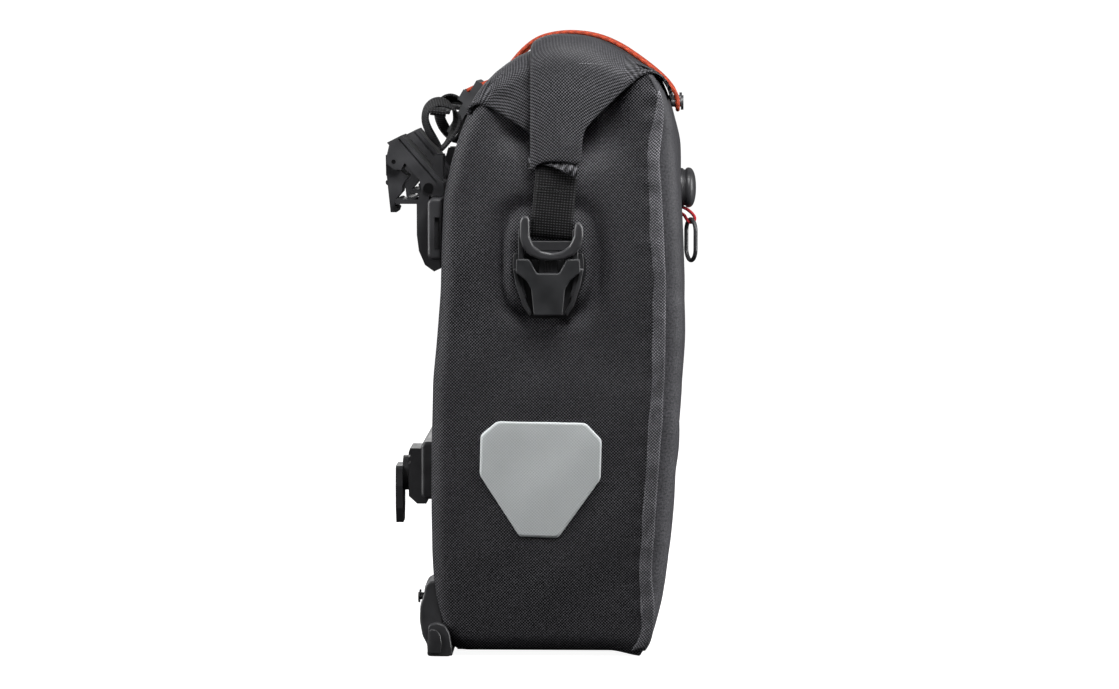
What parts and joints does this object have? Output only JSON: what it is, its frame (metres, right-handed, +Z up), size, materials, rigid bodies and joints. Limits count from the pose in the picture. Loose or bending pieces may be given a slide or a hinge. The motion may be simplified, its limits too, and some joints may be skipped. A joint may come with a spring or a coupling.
{
  "type": "pannier bag",
  "caption": "Roll-top bicycle pannier with sliding rack hooks, swivelling lower claw, side-release buckles, elastic cords and corner protectors.",
  "frame": {"origin": "bottom centre of the whole bag, on the surface it stands on", "axes": "+Z up, +Y towards the bicycle rack, -Y the outer face, X along the rack tube"},
  "size_m": [0.316, 0.2139, 0.4266],
  "materials": {
    "fabric_side": "coated ripstop weave, matte",
    "fabric_front": "coated tarpaulin, fine mottle",
    "webbing": "ribbed polyester webbing",
    "black_plastic": "fine moulded texture",
    "dark_grey_plastic": "satin moulded",
    "stiffener_plastic": "sheet",
    "welded_patch": "coated fabric",
    "reflective": "retro-reflective film",
    "steel": "zinc plated",
    "orange_cord": "braided elastic cord",
    "red_cord": "braided cord"
  },
  "bodies": {
    "bag": {"back_board": "stiffener_plastic", "back_panel": "fabric_side", "backing_nuts": "steel", "bar_trim": "dark_grey_plastic", "bottom_panel": "fabric_side", "buckle_patch_left": "welded_patch", "buckle_patch_right": "welded_patch", "buckle_receiver_left": "dark_grey_plastic", "buckle_receiver_right": "dark_grey_plastic", "button_stud": "steel", "carry_handle": "webbing", "closure_stiffener": "stiffener_plastic", "cord_anchors": "black_plastic", "cord_bar": "black_plastic", "cord_pegs": "black_plastic", "corner_protector_left": "black_plastic", "corner_protector_right": "black_plastic", "elastic_cord_left": "orange_cord", "elastic_cord_right": "orange_cord", "front_button": "black_plastic", "front_panel": "fabric_front", "lower_rail": "black_plastic", "lower_rail_caps": "black_plastic", "protector_rivets": "steel", "rail_screws": "steel", "reflector_left": "reflective", "reflector_right": "reflective", "ring_cord": "red_cord", "roll_closure": "fabric_side", "side_panel_left": "fabric_side", "side_panel_right": "fabric_side", "side_strap_left": "webbing", "side_strap_right": "webbing", "top_hood": "fabric_side", "top_rail": "black_plastic", "top_rail_caps": "black_plastic"},
    "hook_left_body": {"hook_left": "black_plastic", "seat_insert_left": "dark_grey_plastic", "jaw_pin_left": "steel", "jaw_spring_left": "steel", "hook_bolt_left": "steel", "pull_loop_left": "webbing"},
    "hook_right_body": {"hook_right": "black_plastic", "seat_insert_right": "dark_grey_plastic", "jaw_pin_right": "steel", "jaw_spring_right": "steel", "hook_bolt_right": "steel", "pull_loop_right": "webbing"},
    "jaw_left_body": {"jaw_left": "black_plastic"},
    "jaw_right_body": {"jaw_right": "black_plastic"},
    "carriage_body": {"carriage": "black_plastic", "claw_pin": "steel"},
    "claw_body": {"claw": "black_plastic"},
    "buckle_left_body": {"buckle_clip_left": "black_plastic"},
    "buckle_right_body": {"buckle_clip_right": "black_plastic"},
    "ring_body": {"pull_ring": "black_plastic"}
  },
  "joints": [
    {"name": "hook_left_slide", "type": "slide", "parent": "bag", "child": "hook_left_body", "axis": [1, 0, 0], "range_m": [-0.015, 0.03]},
    {"name": "hook_right_slide", "type": "slide", "parent": "bag", "child": "hook_right_body", "axis": [1, 0, 0], "range_m": [-0.03, 0.015]},
    {"name": "jaw_left_hinge", "type": "hinge", "parent": "hook_left_body", "child": "jaw_left_body", "pos_m": [-0.08, 0.1005, 0.3365], "axis": [1, 0, 0], "range_deg": [0, 32], "stiffness_Nm_per_rad": 0.15, "springref_deg": -14.32},
    {"name": "jaw_right_hinge", "type": "hinge", "parent": "hook_right_body", "child": "jaw_right_body", "pos_m": [0.08, 0.1005, 0.3365], "axis": [1, 0, 0], "range_deg": [0, 32], "stiffness_Nm_per_rad": 0.15, "springref_deg": -14.32},
    {"name": "carriage_slide", "type": "slide", "parent": "bag", "child": "carriage_body", "axis": [1, 0, 0], "range_m": [-0.052, 0.052]},
    {"name": "claw_swivel", "type": "hinge", "parent": "carriage_body", "child": "claw_body", "pos_m": [0, 0.1, 0.112], "axis": [0, 1, 0], "range_deg": [-90, 90]},
    {"name": "buckle_left_release", "type": "slide", "parent": "bag", "child": "buckle_left_body", "axis": [-0.0894, 0, 0.996], "range_m": [0, 0.02]},
    {"name": "buckle_right_release", "type": "slide", "parent": "bag", "child": "buckle_right_body", "axis": [0.0894, 0, 0.996], "range_m": [0, 0.02]},
    {"name": "ring_swing", "type": "hinge", "parent": "bag", "child": "ring_body", "pos_m": [0, -0.1023, 0.2925], "axis": [1, 0, 0], "range_deg": [-95, 0]}
  ]
}
